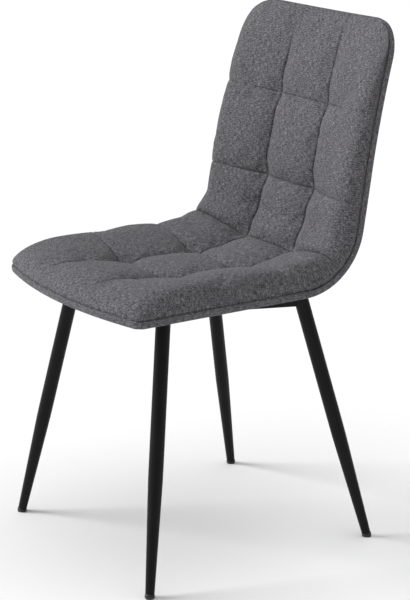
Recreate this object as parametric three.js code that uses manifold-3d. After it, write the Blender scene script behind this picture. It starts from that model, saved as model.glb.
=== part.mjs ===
// Dining chair: a bent plywood shell with a quilted fabric cover, bolted to a frame of tapered
// steel legs. Millimetres, +Z up. The origin is on the floor, midway between the chair's front
// and rear extremes, and the chair faces -Y with +X on the sitter's left.
//
// Seat and back are one board, so every upholstery layer is laid out on the same side profile:
// `along` runs from the front edge of the seat, round the bend, to the top of the back, `across`
// is X, and `up` is the distance off the profile towards the sitter.
import * as THREE from "three";
import { mergeVertices } from "three/addons/utils/BufferGeometryUtils.js";
import Module from "manifold-3d";

// ---- Driving dimensions -------------------------------------------------------------------

const gap = 0.3; // between pieces that touch in the real chair

// Side profile of the shell's underside and rear.
const undersideHeight = 445;
const frontEdgeY = -244.6; // at the front corners; the middle of the edge bows forward
const bendStartY = 73.9;
const bendRadius = 114.5;
const lowRecline = THREE.MathUtils.degToRad(9.2);
const straightBackLength = 93.5;
const upperBackRadius = 1500; // the upper back curves gently away from the sitter
const upperBackLength = 249.3;

// Outline of the shell.
const halfWidth = 210;
const frontCornerRadius = 14;
const topCornerRadius = 62;
const frontBow = 28;
const topNarrowing = 9; // each side of the back draws in by this much at the top
const backHollow = 12; // how far the middle of the back stands behind its sides

// Upholstery layers, as distances off the profile.
const fabric = 1;
const plywoodThickness = 9;
const seatPlywoodUp = 1.3;
const backPlywoodUp = 3.6;
const bandHeight = 12.9;
const seatCrown = 52;
const lowBackCrown = 47;
const topBackCrown = 21;
const bendFullness = 5; // extra padding in the middle of the bend
const bandLean = 2; // the band's lower edge stands this far inside its upper edge
const foamInset = 3; // the foam's rim stands this far inside the outline
const boardInset = 5.5;
const sideRounding = 30; // width over which the padding rises from its side rim
const frontRounding = 85;
const topRounding = 110;
const foamRim = 1; // thickness left at the foam's rim
const dustCoverLength = 318;
const bendDivisions = 10; // an even number, so that one step falls on the crease
const backDivisions = 3; // of the upper back, up to its rounding
const innerColumns = 8;

// Leg frame.
const legDiameter = 24;
const footDiameter = 14.6;
const taperLength = 190;
const legWall = 1.5;
const frontFoot = { x: 216, y: -233.2, leanX: 0.1751, leanY: -0.1771 };
const rearFoot = { x: 208.7, y: 211, leanX: 0.1711, leanY: 0.2281 };
const plateThickness = 4;
const plateCorner = 8;
const frontPlate = { lowX: 79, highX: 156, lowY: -172.4, highY: -110.4 };
const rearPlate = { lowX: 79, highX: 150, lowY: 44.6, highY: 128.6 };
const barWidth = 15;
const frontBarHeight = 22;
const rearBarHeight = 30; // and of the braces
const barWall = 1.5;
const braceMeetsFrontX = 33; // where each brace lands on the front crossbar

// Glides.
const glideDiameter = 16.5;
const glideHeight = 7;
const glideStem = 15;
const glideShoulder = 1; // the foot draws in by this much where the tube stands on it

// Bolts of size M6, and what they pass through.
const boltX = 95;
const frontBoltY = -125.4;
const rearBoltY = 60.6;
const boltDiameter = 5.8;
const boltLength = 16;
const headDiameter = 10.5;
const headHeight = 3.3;
const socketWidth = 4; // across the flats
const socketDepth = 2.2;
const washerThickness = 1.6;
const washerBore = 6.4;
const flatWasherDiameter = 12;
const lockWasherDiameter = 11.4;
const lockWasherSplit = 0.8;
const plateHole = 7;
const clothHole = 9;
const nutLength = 8.4;
const nutBarrel = 7.8;
const nutFlange = 19;
const nutFlangeThickness = 1.5;

// Rough sizes of the solids that others are cut with; they only have to reach past the pieces.
const cutterSize = 1000;
const pastLegTop = 480;
const legTopZone = { low: 300, high: 500 };

// Levels worked out from the above.
const seatBoardTop = undersideHeight + seatPlywoodUp + plywoodThickness;
const plateTop = undersideHeight - gap;
const plateBottom = plateTop - plateThickness;
const barTop = plateBottom - gap;
const rearBarMiddle = barTop - rearBarHeight / 2;
const bendAngle = Math.PI / 2 - lowRecline;
const flatLength = bendStartY - frontEdgeY;
const bendLength = bendRadius * bendAngle;
const bendEnd = flatLength + bendLength;
const creaseAlong = flatLength + bendLength / 2;
const upperBackStart = bendEnd + straightBackLength;
const shellLength = upperBackStart + upperBackLength;

// ---- Materials ----------------------------------------------------------------------------

const material = (color, roughness, metalness) =>
  new THREE.MeshStandardMaterial({ color, roughness, metalness });
const darkGreyFabric = material(0x5f5e62, 0.95, 0);
const blackPowderCoat = material(0x1b1b1c, 0.55, 0.2);
const blackPlastic = material(0x161616, 0.5, 0);
const blackCloth = material(0x141415, 1, 0);
const zincSteel = material(0xa9adb0, 0.35, 0.9);
const birchPlywood = material(0xc9a878, 0.7, 0);
const paleFoam = material(0xe6dfc4, 0.95, 0);
const whiteWadding = material(0xdedede, 1, 0);

// ---- Joining and cutting ------------------------------------------------------------------

const wasm = await Module();
wasm.setup();

function weld(geometry) {
  const bare = geometry.clone();
  bare.deleteAttribute("normal");
  bare.deleteAttribute("uv");
  return mergeVertices(bare, 1e-4);
}

function toSolid(geometry) {
  const welded = weld(geometry);
  return new wasm.Manifold(
    new wasm.Mesh({
      numProp: 3,
      vertProperties: welded.attributes.position.array,
      triVerts: new Uint32Array(welded.index.array),
    }),
  );
}

function toGeometry(solid) {
  const mesh = solid.getMesh();
  const geometry = new THREE.BufferGeometry();
  geometry.setAttribute("position", new THREE.BufferAttribute(mesh.vertProperties, 3));
  geometry.setIndex(new THREE.BufferAttribute(mesh.triVerts, 1));
  return geometry;
}

// The body with every cutter taken out of it.
function cut(body, ...cutters) {
  const solid = cutters.reduce((rest, cutter) => rest.subtract(toSolid(cutter)), toSolid(body));
  return toGeometry(solid);
}

function named(name, geometry, surface) {
  const finished = geometry.index ? geometry.toNonIndexed() : geometry.clone();
  finished.computeVertexNormals();
  const mesh = new THREE.Mesh(finished, surface);
  mesh.name = name;
  return mesh;
}

// ---- Basic forms --------------------------------------------------------------------------

// A solid of revolution about Z from [radius, height] points, listed from the bottom up the
// outside and back down the inside.
function revolved(profile, segments) {
  const points = profile.map(([radius, height]) => new THREE.Vector2(radius, height));
  return new THREE.LatheGeometry(points, segments).rotateX(Math.PI / 2);
}

function ring(outerDiameter, innerDiameter, thickness, segments) {
  const outer = outerDiameter / 2;
  const inner = innerDiameter / 2;
  const section = [
    [inner, 0],
    [outer, 0],
    [outer, thickness],
    [inner, thickness],
    [inner, 0],
  ];
  return revolved(section, segments);
}

function uprightCylinder(x, y, low, high, diameter, segments) {
  return new THREE.CylinderGeometry(diameter / 2, diameter / 2, high - low, segments)
    .rotateX(Math.PI / 2)
    .translate(x, y, (low + high) / 2);
}

// A box of the given width and height that runs level from one plan point to another.
function levelBar(from, to, width, height, middle) {
  const length = Math.hypot(to.x - from.x, to.y - from.y);
  return new THREE.BoxGeometry(length, width, height)
    .rotateZ(Math.atan2(to.y - from.y, to.x - from.x))
    .translate((from.x + to.x) / 2, (from.y + to.y) / 2, middle);
}

// ---- Shell profile and layers -------------------------------------------------------------

// Place and direction of the underside at a distance along the side profile.
function profileAt(along) {
  if (along <= flatLength) {
    return { y: frontEdgeY + along, z: undersideHeight, angle: 0 };
  }
  const turned = Math.min(along - flatLength, bendLength) / bendRadius;
  const bendPoint = {
    y: bendStartY + bendRadius * Math.sin(turned),
    z: undersideHeight + bendRadius * (1 - Math.cos(turned)),
    angle: turned,
  };
  if (along <= bendEnd) return bendPoint;
  const straight = Math.min(along - bendEnd, straightBackLength);
  const lowBackPoint = {
    y: bendPoint.y + straight * Math.cos(bendAngle),
    z: bendPoint.z + straight * Math.sin(bendAngle),
    angle: bendAngle,
  };
  if (along <= bendEnd + straightBackLength) return lowBackPoint;
  const leant = (along - bendEnd - straightBackLength) / upperBackRadius;
  const angle = bendAngle - leant;
  return {
    y: lowBackPoint.y + upperBackRadius * (Math.sin(bendAngle) - Math.sin(angle)),
    z: lowBackPoint.z + upperBackRadius * (Math.cos(angle) - Math.cos(bendAngle)),
    angle,
  };
}

// The point at a place on the outline's plan and a distance off the profile. The front edge
// bows forward, fading out towards the bend, and the back is hollow from side to side.
function shellPoint(across, along, up) {
  const middle = 1 - (across / halfWidth) ** 2;
  const towardsFront = Math.max(0, 1 - along / flatLength);
  const towardsTop = Math.max(0, (along - bendEnd) / (shellLength - bendEnd));
  const base = profileAt(along - frontBow * middle * towardsFront);
  const height = up - backHollow * middle * pastBend(along);
  return new THREE.Vector3(
    across * (1 - (topNarrowing / halfWidth) * towardsTop ** 2),
    base.y - height * Math.sin(base.angle),
    base.z + height * Math.cos(base.angle),
  );
}

// Rise of the padding from a rim, a quarter of an ellipse: 0 on the rim, 1 past the rounding.
function rise(distance, rounding) {
  const inward = Math.min(1, Math.max(0, distance / rounding));
  return Math.sqrt(1 - (1 - inward) ** 2);
}

// 0 before the bend, 1 after it.
const pastBend = (along) => THREE.MathUtils.smoothstep(along, flatLength, bendEnd);

const plywoodUp = (along) => THREE.MathUtils.lerp(seatPlywoodUp, backPlywoodUp, pastBend(along));

function crown(along) {
  const upBack = THREE.MathUtils.clamp((along - bendEnd) / (shellLength - bendEnd), 0, 1);
  const backCrown = THREE.MathUtils.lerp(lowBackCrown, topBackCrown, upBack);
  const inBend = THREE.MathUtils.clamp((along - flatLength) / bendLength, 0, 1);
  const fullness = bendFullness * Math.sin(Math.PI * inBend) ** 2;
  return THREE.MathUtils.lerp(seatCrown, backCrown, pastBend(along)) + fullness;
}

// Evenly spaced stops from one distance to another, both included.
function evenStops(from, to, divisions) {
  return Array.from({ length: divisions + 1 }, (_, i) => from + ((to - from) * i) / divisions);
}

// Distances at which an edge zone is sampled, closer together near the rim.
const zone = (width) => [0, 0.08, 0.3, 0.62, 1].map((part) => part * width);

// Distances along the profile at which every layer is sampled.
function alongStops(start, end) {
  const inner = [
    ...zone(frontCornerRadius).map((step) => foamInset + step),
    ...evenStops(frontRounding / 2, frontRounding, 1),
    (frontRounding + flatLength) / 2,
    ...evenStops(flatLength, bendEnd, bendDivisions),
    ...evenStops(upperBackStart, shellLength - topRounding, backDivisions),
    ...zone(topCornerRadius).map((step) => shellLength - foamInset - step),
  ];
  const nearest = 2; // stops closer than this to an end are left out
  const between = inner.filter((stop) => stop > start + nearest && stop < end - nearest);
  return [start, ...between, end].sort((a, b) => a - b);
}

function acrossStops(half) {
  const rim = zone(sideRounding).map((step) => half - step);
  const inner = evenStops(sideRounding - half, half - sideRounding, innerColumns).slice(1, -1);
  return [...rim.map((stop) => -stop), ...inner, ...rim].sort((a, b) => a - b);
}

// Moves a point of a square corner onto a round one: the square's two outer sides become the arc.
function roundCorner(sideways, lengthways, radius) {
  const u = sideways / radius;
  const v = lengthways / radius;
  return [radius * u * Math.sqrt(1 - (v * v) / 2), radius * v * Math.sqrt(1 - (u * u) / 2)];
}

// One layer of the shell: a box whose vertices are laid on the profile between the heights
// lower(place) and upper(place). `inset` moves its rim inside the outline, and `lean` moves the
// lower edge of the rim further in. An end at the outline's front or top has round corners, and
// any other end is cut square across.
function layer({ inset, lean = 0, start = inset, end = shellLength - inset, lower, upper }) {
  const half = halfWidth - inset;
  const columns = acrossStops(half);
  const rows = alongStops(start, end);
  const box = new THREE.BoxGeometry(1, 1, 1, columns.length - 1, rows.length - 1, 1);
  const positions = box.attributes.position;
  const middle = (start + end) / 2;
  const frontEnd = { edge: start, inwards: 1, radius: frontCornerRadius - inset };
  const topEnd = { edge: end, inwards: -1, radius: topCornerRadius - inset };
  frontEnd.isRound = start === inset;
  topEnd.isRound = end === shellLength - inset;
  for (let i = 0; i < positions.count; i++) {
    const column = columns[Math.round((positions.getX(i) + 0.5) * (columns.length - 1))];
    const row = rows[Math.round((positions.getY(i) + 0.5) * (rows.length - 1))];
    const isUpper = positions.getZ(i) > 0;
    const place = { along: row, fromSide: half - Math.abs(column) };
    place.fromFront = row - start;
    place.fromTop = end - row;
    const up = isUpper ? upper(place) : lower(place);

    // Distances past the lines through the corners' centres, towards the rim.
    const { edge, inwards, radius, isRound } = row < middle ? frontEnd : topEnd;
    let sideways = Math.max(0, Math.abs(column) - (half - radius));
    let lengthways = isRound ? Math.max(0, radius - inwards * (row - edge)) : 0;
    const keptAcross = Math.abs(column) - sideways;
    const keptAlong = row + inwards * lengthways;
    [sideways, lengthways] = roundCorner(sideways, lengthways, radius);
    const squeeze = isUpper ? 1 : (radius - lean) / radius;
    const across = Math.sign(column) * (keptAcross + sideways * squeeze);
    const along = keptAlong - inwards * lengthways * squeeze;
    const point = shellPoint(across, along, up);
    positions.setXYZ(i, point.x, point.y, point.z);
  }
  return weld(box);
}

// ---- Upholstery ---------------------------------------------------------------------------

const boltPlaces = [
  { suffix: "front_left", x: boltX, y: frontBoltY },
  { suffix: "front_right", x: -boltX, y: frontBoltY },
  { suffix: "rear_left", x: boltX, y: rearBoltY },
  { suffix: "rear_right", x: -boltX, y: rearBoltY },
];

function holesAtBolts(diameter, low, high) {
  return boltPlaces.map(({ x, y }) => uprightCylinder(x, y, low, high, diameter, 16));
}

function plywoodShell() {
  const board = layer({
    inset: boardInset,
    lower: ({ along }) => plywoodUp(along),
    upper: ({ along }) => plywoodUp(along) + plywoodThickness,
  });
  const recessDepth = nutFlangeThickness + 2 * gap;
  const barrelHoles = holesAtBolts(nutBarrel + 2 * gap, undersideHeight, seatBoardTop + 1);
  const recesses = holesAtBolts(nutFlange + 2 * gap, seatBoardTop - recessDepth, seatBoardTop + 1);
  return cut(board, ...barrelHoles, ...recesses);
}

// Height of the quilted cover's inner face: it meets the band at the rim and rises to the crown.
function coverUp({ along, fromSide, fromFront, fromTop }) {
  const rim = bandHeight + gap;
  const ends = rise(fromFront, frontRounding) * rise(fromTop, topRounding);
  return rim + (crown(along) - fabric - rim) * rise(fromSide, sideRounding) * ends;
}

function quiltedCover() {
  const upper = (place) => coverUp(place) + fabric;
  return layer({ inset: 0, lower: coverUp, upper });
}

// A foam slab fills the room between the board and the cover.
function foamSlab(start, end) {
  const boardTop = (along) => plywoodUp(along) + plywoodThickness + gap;
  const upper = ({ along, fromSide }) => {
    const rim = boardTop(along) + foamRim;
    const full = crown(along) - fabric - gap;
    const ends =
      rise(along - foamInset, frontRounding) *
      rise(shellLength - foamInset - along, topRounding);
    return rim + (full - rim) * rise(fromSide, sideRounding) * ends;
  };
  return layer({ inset: foamInset, start, end, lower: ({ along }) => boardTop(along), upper });
}

// The band stands round the rim of the board.
function sideBand() {
  const outside = layer({ inset: 0, lean: bandLean, lower: () => 0, upper: () => bandHeight });
  const slope = bandLean / bandHeight;
  const past = 2; // how far the inside reaches past both edges of the band
  const inside = layer({
    inset: fabric - slope * past,
    lean: bandLean + 2 * slope * past,
    lower: () => -past,
    upper: () => bandHeight + past,
  });
  return cut(outside, inside);
}

// The padding behind the back starts halfway round the bend, where the board has left room.
function rearPadding() {
  return layer({
    inset: boardInset,
    start: creaseAlong,
    lower: () => fabric + gap,
    upper: ({ along }) => plywoodUp(along) - gap,
  });
}

function rearCover() {
  const start = dustCoverLength + gap;
  return layer({ inset: boardInset, start, lower: () => 0, upper: () => fabric });
}

function dustCover() {
  const cloth = layer({
    inset: boardInset,
    end: dustCoverLength,
    lower: () => 0,
    upper: () => fabric,
  });
  return cut(cloth, ...holesAtBolts(clothHole, plateTop, undersideHeight + 2 * fabric));
}

const upholstery = new THREE.Group();
upholstery.add(
  named("plywood_shell", plywoodShell(), birchPlywood),
  named("seat_foam", foamSlab(foamInset, creaseAlong - gap / 2), paleFoam),
  named("back_foam", foamSlab(creaseAlong + gap / 2, shellLength - foamInset), paleFoam),
  named("rear_padding", rearPadding(), whiteWadding),
  named("quilted_cover", quiltedCover(), darkGreyFabric),
  named("side_band", sideBand(), darkGreyFabric),
  named("rear_cover", rearCover(), darkGreyFabric),
  named("dust_cover", dustCover(), blackCloth),
);

// ---- Leg frame ----------------------------------------------------------------------------

// The axis of a leg: where it meets the floor, and how it leans inwards as it rises.
function legAxis({ x, y, leanX, leanY }, side) {
  const foot = new THREE.Vector3(side * x, y, 0);
  const direction = new THREE.Vector3(-side * leanX, -leanY, 1).normalize();
  const placement = new THREE.Matrix4().compose(
    foot,
    new THREE.Quaternion().setFromUnitVectors(new THREE.Vector3(0, 0, 1), direction),
    new THREE.Vector3(1, 1, 1),
  );
  const at = (height) => foot.clone().addScaledVector(direction, height / direction.z);
  return { placement, at };
}

// A block with its underside at a height.
function blockAbove(height) {
  const block = new THREE.BoxGeometry(cutterSize, cutterSize, cutterSize);
  return block.translate(0, 0, height + cutterSize / 2);
}

// A tube that tapers over its lowest stretch, cut level under its corner plate.
function legTube({ placement }) {
  const topRadius = legDiameter / 2;
  const footRadius = footDiameter / 2;
  const start = glideHeight + gap;
  const startRadius = footRadius + ((topRadius - footRadius) * start) / taperLength;
  const outside = [
    [startRadius, start],
    [topRadius, taperLength],
    [topRadius, pastLegTop],
  ];
  const inside = outside.map(([radius, height]) => [radius - legWall, height]).reverse();
  const tube = revolved([...outside, ...inside, outside[0]], 24).applyMatrix4(placement);
  return cut(tube, blockAbove(barTop));
}

// A plug with a rounded foot, cut level where it stands on the floor.
function glide({ placement }) {
  const foot = glideDiameter / 2;
  const stem = footDiameter / 2 - legWall - gap;
  const outline = [
    [0, -glideHeight],
    [foot - glideShoulder, -glideHeight],
    [foot, glideHeight / 2],
    [foot - glideShoulder, glideHeight],
    [stem, glideHeight],
    [stem, glideHeight + glideStem],
    [0, glideHeight + glideStem],
  ];
  const belowFloor = blockAbove(-cutterSize);
  return cut(revolved(outline, 20).applyMatrix4(placement), belowFloor);
}

// The room a leg takes up, with the gap round it.
function legRoom({ placement }) {
  const { low, high } = legTopZone;
  return uprightCylinder(0, 0, low, high, legDiameter + 2 * gap, 24).applyMatrix4(placement);
}

// A rectangular tube just under the plates, with its ends cut to fit what it is welded to.
function barTube(from, to, height, ...cutters) {
  const middle = barTop - height / 2;
  const hollow = levelBar(from, to, barWidth - 2 * barWall, height - 2 * barWall, middle);
  const outside = levelBar(from, to, barWidth, height, middle);
  return cut(outside, hollow, ...cutters);
}

// The room a bar takes up, with the gap at its sides, reaching past its top and bottom.
function barRoom(from, to) {
  const height = rearBarHeight + 2 * barWall;
  return levelBar(from, to, barWidth + 2 * gap, height, rearBarMiddle);
}

// A plate with round corners and a bolt hole, over the top of a leg.
function cornerPlate({ lowX, highX, lowY, highY }, side, boltY) {
  const outline = new THREE.Shape();
  const corners = [
    [highX - plateCorner, lowY + plateCorner],
    [highX - plateCorner, highY - plateCorner],
    [lowX + plateCorner, highY - plateCorner],
    [lowX + plateCorner, lowY + plateCorner],
  ];
  outline.moveTo(lowX + plateCorner, lowY);
  corners.forEach(([x, y], i) => {
    const from = ((i - 1) * Math.PI) / 2;
    outline.absarc(x, y, plateCorner, from, from + Math.PI / 2, false);
  });
  const drilled = new THREE.Path().absarc(boltX, boltY, plateHole / 2, 0, Math.PI * 2, true);
  outline.holes.push(drilled);
  const flat = { depth: plateThickness, bevelEnabled: false, curveSegments: 5 };
  const plate = new THREE.ExtrudeGeometry(outline, flat);
  if (side < 0) plate.rotateY(Math.PI).translate(0, 0, plateThickness);
  return plate.translate(0, 0, plateBottom);
}

const legFrame = new THREE.Group();
const sides = [
  { sideName: "left", side: 1 },
  { sideName: "right", side: -1 },
];
const pairs = [
  {
    pairName: "front",
    foot: frontFoot,
    plateSize: frontPlate,
    boltY: frontBoltY,
    barHeight: frontBarHeight,
  },
  {
    pairName: "rear",
    foot: rearFoot,
    plateSize: rearPlate,
    boltY: rearBoltY,
    barHeight: rearBarHeight,
  },
];

for (const { pairName, foot, plateSize, boltY, barHeight } of pairs) {
  for (const { sideName, side } of sides) {
    const suffix = `${pairName}_${sideName}`;
    const axis = legAxis(foot, side);
    const plate = cornerPlate(plateSize, side, boltY);
    legFrame.add(
      named(`leg_${suffix}`, legTube(axis), blackPowderCoat),
      named(`glide_${suffix}`, glide(axis), blackPlastic),
      named(`corner_plate_${suffix}`, plate, blackPowderCoat),
    );
  }
  const left = legAxis(foot, 1);
  const right = legAxis(foot, -1);
  const middle = barTop - barHeight / 2;
  const rooms = [legRoom(left), legRoom(right)];
  const crossbar = barTube(right.at(middle), left.at(middle), barHeight, ...rooms);
  legFrame.add(named(`${pairName}_crossbar`, crossbar, blackPowderCoat));
}

for (const { sideName, side } of sides) {
  const rearLeg = legAxis(rearFoot, side);
  const otherRearLeg = legAxis(rearFoot, -side);
  const frontY = legAxis(frontFoot, side).at(barTop - frontBarHeight / 2).y;
  const frontEnd = { x: side * braceMeetsFrontX, y: frontY };
  const frontBarRoom = barRoom({ x: -halfWidth, y: frontY }, { x: halfWidth, y: frontY });
  const rearBarRoom = barRoom(otherRearLeg.at(rearBarMiddle), rearLeg.at(rearBarMiddle));
  const rooms = [legRoom(rearLeg), frontBarRoom, rearBarRoom];
  const brace = barTube(rearLeg.at(rearBarMiddle), frontEnd, rearBarHeight, ...rooms);
  legFrame.add(named(`brace_${sideName}`, brace, blackPowderCoat));
}

// ---- Fasteners ----------------------------------------------------------------------------

function bolt() {
  const head = headDiameter / 2;
  const shank = boltDiameter / 2;
  const outline = [
    [0, -headHeight],
    [head * 0.55, -headHeight],
    [head * 0.88, -headHeight * 0.6],
    [head, -headHeight * 0.15],
    [head, 0],
    [shank, 0],
    [shank, boltLength],
    [0, boltLength],
  ];
  const acrossCorners = socketWidth / Math.cos(Math.PI / 6);
  const socketTop = socketDepth - headHeight;
  const socket = uprightCylinder(0, 0, -2 * headHeight, socketTop, acrossCorners, 6);
  return cut(revolved(outline, 16), socket);
}

const flatWasher = () => ring(flatWasherDiameter, washerBore, washerThickness, 20);

// A ring with a narrow split on one side.
function lockWasher() {
  const size = lockWasherDiameter;
  const split = new THREE.BoxGeometry(size, lockWasherSplit, size).translate(size / 2, 0, 0);
  return cut(ring(size, washerBore, washerThickness, 20), split);
}

function tNut() {
  const bore = boltDiameter / 2 + gap;
  const barrel = nutBarrel / 2;
  const flange = nutFlange / 2;
  const outline = [
    [bore, 0],
    [barrel, 0],
    [barrel, nutLength - nutFlangeThickness],
    [flange, nutLength - nutFlangeThickness],
    [flange, nutLength],
    [bore, nutLength],
    [bore, 0],
  ];
  return revolved(outline, 16);
}

const flatWasherLow = plateBottom - gap - washerThickness;
const lockWasherLow = flatWasherLow - gap - washerThickness;
const boltSeat = lockWasherLow - gap;
const nutLow = seatBoardTop - gap - nutLength;

const fasteners = new THREE.Group();
for (const { suffix, x, y } of boltPlaces) {
  const place = new THREE.Group();
  place.position.set(x, y, 0);
  const pieces = [
    [named(`bolt_${suffix}`, bolt(), zincSteel), boltSeat],
    [named(`lock_washer_${suffix}`, lockWasher(), zincSteel), lockWasherLow],
    [named(`flat_washer_${suffix}`, flatWasher(), zincSteel), flatWasherLow],
    [named(`t_nut_${suffix}`, tNut(), zincSteel), nutLow],
  ];
  for (const [piece, height] of pieces) {
    piece.position.z = height;
    place.add(piece);
  }
  fasteners.add(place);
}

const chair = new THREE.Group();
chair.add(upholstery, legFrame, fasteners);

export default chair;
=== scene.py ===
"""The looks of the dining chair: a tufted pad, band and rear cover on a bent shell, and a black
tube frame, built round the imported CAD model. Lengths are in metres and angles in radians."""

import math

import bpy
import numpy as np
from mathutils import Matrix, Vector


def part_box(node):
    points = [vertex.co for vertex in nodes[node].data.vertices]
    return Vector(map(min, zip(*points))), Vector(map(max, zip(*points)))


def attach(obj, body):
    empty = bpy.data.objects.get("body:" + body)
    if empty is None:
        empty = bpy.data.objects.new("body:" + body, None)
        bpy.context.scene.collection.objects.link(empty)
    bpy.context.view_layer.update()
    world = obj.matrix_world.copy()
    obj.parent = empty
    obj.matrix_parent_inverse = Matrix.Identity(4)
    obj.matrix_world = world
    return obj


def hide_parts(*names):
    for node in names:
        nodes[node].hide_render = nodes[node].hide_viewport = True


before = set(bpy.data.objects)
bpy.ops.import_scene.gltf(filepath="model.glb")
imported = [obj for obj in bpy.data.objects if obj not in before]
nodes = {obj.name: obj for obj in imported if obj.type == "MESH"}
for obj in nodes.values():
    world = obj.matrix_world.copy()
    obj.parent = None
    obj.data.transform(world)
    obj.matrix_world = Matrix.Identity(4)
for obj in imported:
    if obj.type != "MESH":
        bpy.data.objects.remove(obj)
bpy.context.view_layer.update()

# ---- Driving dimensions, as the CAD model has them ------------------------------------------

UNDERSIDE = 0.445
FRONT_EDGE_Y = -0.2446  # at the front corners; the middle of the edge bows forward
BEND_START_Y = 0.0739
BEND_RADIUS = 0.1145
BEND_ANGLE = math.radians(90 - 9.2)
STRAIGHT_BACK = 0.0935
UPPER_BACK_RADIUS = 1.5
UPPER_BACK = 0.2493
HALF_WIDTH = 0.210
FRONT_CORNER = 0.014
TOP_CORNER = 0.062
FRONT_BOW = 0.028
TOP_NARROWING = 0.009
BACK_HOLLOW = 0.012
SEAT_CROWN = 0.052
LOW_BACK_CROWN = 0.047
TOP_BACK_CROWN = 0.021
BEND_FULLNESS = 0.005
SIDE_ROUNDING = 0.030
FRONT_ROUNDING = 0.085
TOP_ROUNDING = 0.110
BAND_HEIGHT = 0.0129
BAND_LEAN = 0.002
PLYWOOD = 0.009
SEAT_PLYWOOD_UP = 0.0013
BACK_PLYWOOD_UP = 0.0036
DUST_COVER_LENGTH = 0.318
DUST_COVER_INSET = 0.010
LEG_RADIUS = 0.012
FOOT_RADIUS = 0.0073
TAPER_LENGTH = 0.190
LEG_WALL = 0.0015
GLIDE_RADIUS = 0.00825
GLIDE_HEIGHT = 0.007
GAP = 0.0003
LEGS = ("front_left", "front_right", "rear_left", "rear_right")

FLAT_LENGTH = BEND_START_Y - FRONT_EDGE_Y
BEND_LENGTH = BEND_RADIUS * BEND_ANGLE
BEND_END = FLAT_LENGTH + BEND_LENGTH
SHELL_LENGTH = BEND_END + STRAIGHT_BACK + UPPER_BACK

# Quilting: two seams run the length of the pad, and five cross it.
LENGTHWISE_SEAM = 0.067
CROSS_SEAMS = {  # place along the pad: (depth in the middle column, share kept in the side ones)
    0.152: (0.40, 0.15),
    0.282: (0.50, 0.35),
    0.402: (0.75, 0.40),
    0.524: (0.40, 0.18),
    0.668: (0.34, 0.10),
}
CROSS_SEAM_FADE = 0.08  # width beside the middle column over which a cross seam gets shallow
LENGTHWISE_DEPTH = 0.52
TUFT_DEPTH = 0.72  # where two seams cross
VALLEY_FLOOR = 0.014
SEAM_REACH = 0.055  # width over which a pillow rises from its seam
TUFT_REACH = 0.020
SEAT_DISH = 0.50  # share of the padding's depth that is missing in the middle of the seat
BACK_DISH = 0.40
DISH_FLOOR = 0.050  # the dish is flat up to here, and ends
DISH_EDGE = 0.185  # here
RIM_DRAW = 0.0030  # how far the seam with the band draws the pad's rim in
CREASE_DEPTH = 0.0024
CREASE_WIDTH = 0.0015
LEAST_CREASE = 0.35  # share of a crease that is left where its seam is shallowest
PUCKER_DEPTH = 0.0002
PUCKER_REACH = 0.006
PAD_UNEVENNESS = 0.0004
PAD_UNDER_INSET = 0.003  # how far the pad's underside stands inside its outline
PAD_STEP = 0.0028
BESIDE_SEAM = (0.0008, 0.0018)  # extra stops, so that a crease keeps its shape

# Cloth simulation of the pad, on a coarser grid.
SIMULATED_STEP = 0.0052
SIMULATED_FRAMES = 20
SLACK = 0.008  # share by which the cloth grows
AIR_PRESSURE = 2.0
AIR_REACH = 0.003  # the furthest that a point may move
HELD_SEAM = 0.35  # cross seams hold the cloth where more than this share of them is kept

# Band, rear cover, dust cover and their fastenings.
OUTLINE_STEP = 0.004
SEWN_JOINT_DEPTH = 0.0012
SEWN_JOINT_WIDTH = 0.0035
REAR_COVER_INSET = 0.0055
REAR_COVER_TUCK = 0.012  # how far it runs in under the dust cover
LAYER_EDGE = 0.02  # width beside a layer's edge where its grid is finer
PAD_EVERY = 8  # the pad's hidden underside keeps one row and column in this many
LAYER_EVERY = 5
THREAD_RADIUS = 0.0004
STITCH_STEP = 0.0012  # between the rings of a stitch
STITCH_RINGS = 5
STAPLE_HEM = 0.005  # how far the staples stand inside the dust cover's edge
STAPLE_HALF_LENGTH = 0.005
STAPLE_RADIUS = 0.0005
WELD_RADIUS = 0.0019
WELD_RIPPLE = 0.0002

# ---- The shell's profile --------------------------------------------------------------------


def smoothstep(value, start, end):
    part = np.clip((value - start) / (end - start), 0, 1)
    return part * part * (3 - 2 * part)


def profile(along):
    """y, z and angle of the shell's underside and rear at distances along its side profile."""
    turned = np.clip(along - FLAT_LENGTH, 0, BEND_LENGTH) / BEND_RADIUS
    straight = np.clip(along - BEND_END, 0, STRAIGHT_BACK)
    leant = np.maximum(along - BEND_END - STRAIGHT_BACK, 0) / UPPER_BACK_RADIUS
    upper = BEND_ANGLE - leant
    y = FRONT_EDGE_Y + np.minimum(along, FLAT_LENGTH) + BEND_RADIUS * np.sin(turned)
    y = y + straight * math.cos(BEND_ANGLE)
    y = y + UPPER_BACK_RADIUS * (math.sin(BEND_ANGLE) - np.sin(upper))
    z = UNDERSIDE + BEND_RADIUS * (1 - np.cos(turned)) + straight * math.sin(BEND_ANGLE)
    z = z + UPPER_BACK_RADIUS * (np.cos(upper) - math.cos(BEND_ANGLE))
    return y, z, turned - leant


def shell_point(across, along, up):
    """Points at places on the shell's plan and distances off its profile, towards the sitter."""
    middle = 1 - (across / HALF_WIDTH) ** 2
    towards_front = np.maximum(0, 1 - along / FLAT_LENGTH)
    towards_top = np.maximum(0, (along - BEND_END) / (SHELL_LENGTH - BEND_END))
    bowed = along - FRONT_BOW * middle * towards_front
    y, z, angle = profile(bowed)
    up = up - BACK_HOLLOW * middle * past_bend(along)
    x = across * (1 - TOP_NARROWING / HALF_WIDTH * towards_top**2)
    return np.stack([x, y - up * np.sin(angle), z + up * np.cos(angle)], axis=-1)


def past_bend(along):
    return smoothstep(along, FLAT_LENGTH, BEND_END)


def plywood_top(along):
    up = SEAT_PLYWOOD_UP + (BACK_PLYWOOD_UP - SEAT_PLYWOOD_UP) * past_bend(along)
    return up + PLYWOOD + GAP


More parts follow.
